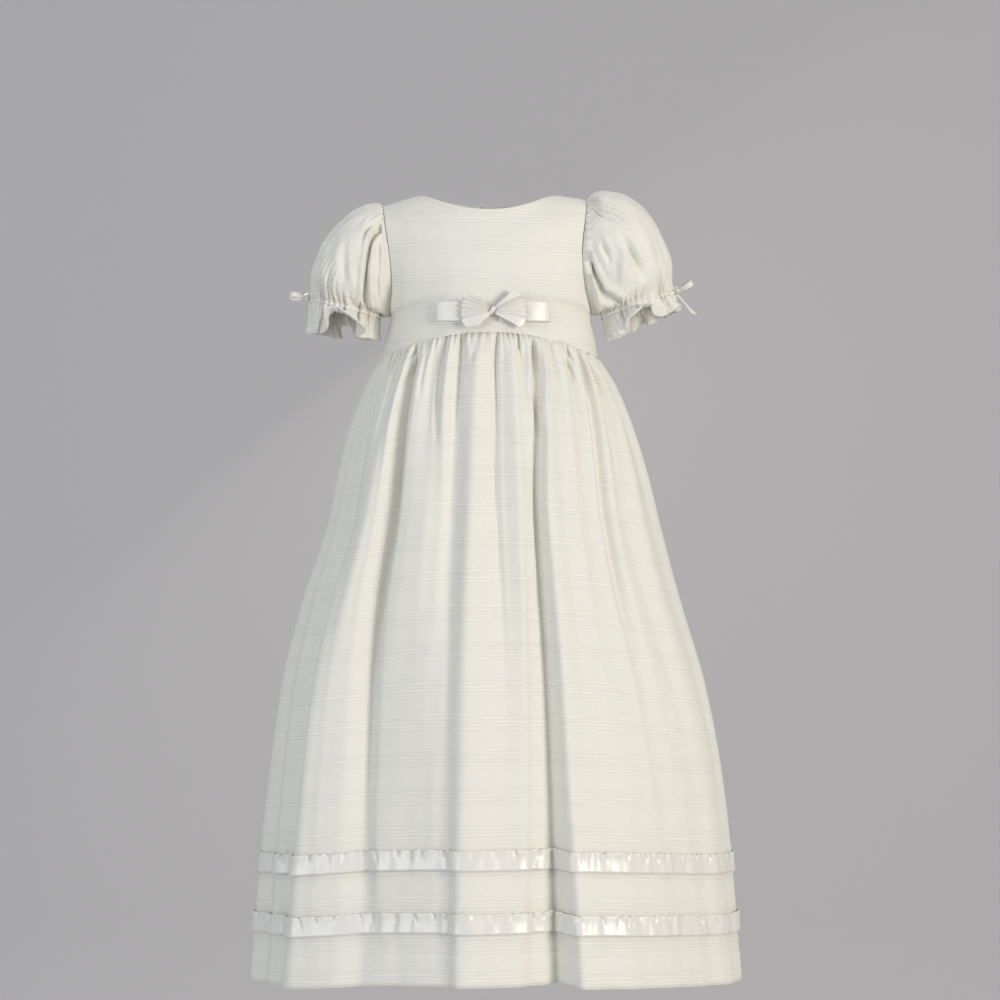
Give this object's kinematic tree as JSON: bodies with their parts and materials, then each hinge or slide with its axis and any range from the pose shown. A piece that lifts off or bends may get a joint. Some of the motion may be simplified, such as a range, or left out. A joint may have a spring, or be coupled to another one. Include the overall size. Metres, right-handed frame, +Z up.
{
  "type": "christening gown",
  "caption": "Infant christening gown with puff sleeves, gathered long skirt, satin ribbon bands near the hem and a satin bow at the waist.",
  "frame": {"origin": "midway between the shoulder seams, where the shoulders carry the gown", "axes": "+X to the right as the front is looked at, -Y out of the front, +Z up"},
  "size_m": [0.4455, 0.313, 0.7223],
  "materials": {
    "cotton": "matt cotton with crosswise woven ribs",
    "satin": "satin ribbon with a soft sheen",
    "button": "pearly"
  },
  "bodies": {
    "root": {"back_button_1": "button", "back_button_2": "button", "back_button_3": "button", "bodice_back_left": "cotton", "bodice_back_right": "cotton", "bodice_front": "cotton", "bow_centre": "satin", "bow_fan_left": "satin", "bow_fan_right": "satin", "bow_loop_left": "satin", "bow_loop_right": "satin", "cuff_knot_left": "satin", "cuff_knot_right": "satin", "cuff_loop_a_left": "satin", "cuff_loop_a_right": "satin", "cuff_loop_b_left": "satin", "cuff_loop_b_right": "satin", "cuff_ribbon_left": "satin", "cuff_ribbon_right": "satin", "cuff_tail_left": "satin", "cuff_tail_right": "satin", "ribbon_lower_back": "satin", "ribbon_lower_front": "satin", "ribbon_upper_back": "satin", "ribbon_upper_front": "satin", "skirt_back": "cotton", "skirt_front": "cotton", "sleeve_left": "cotton", "sleeve_right": "cotton"}
  },
  "joints": []
}
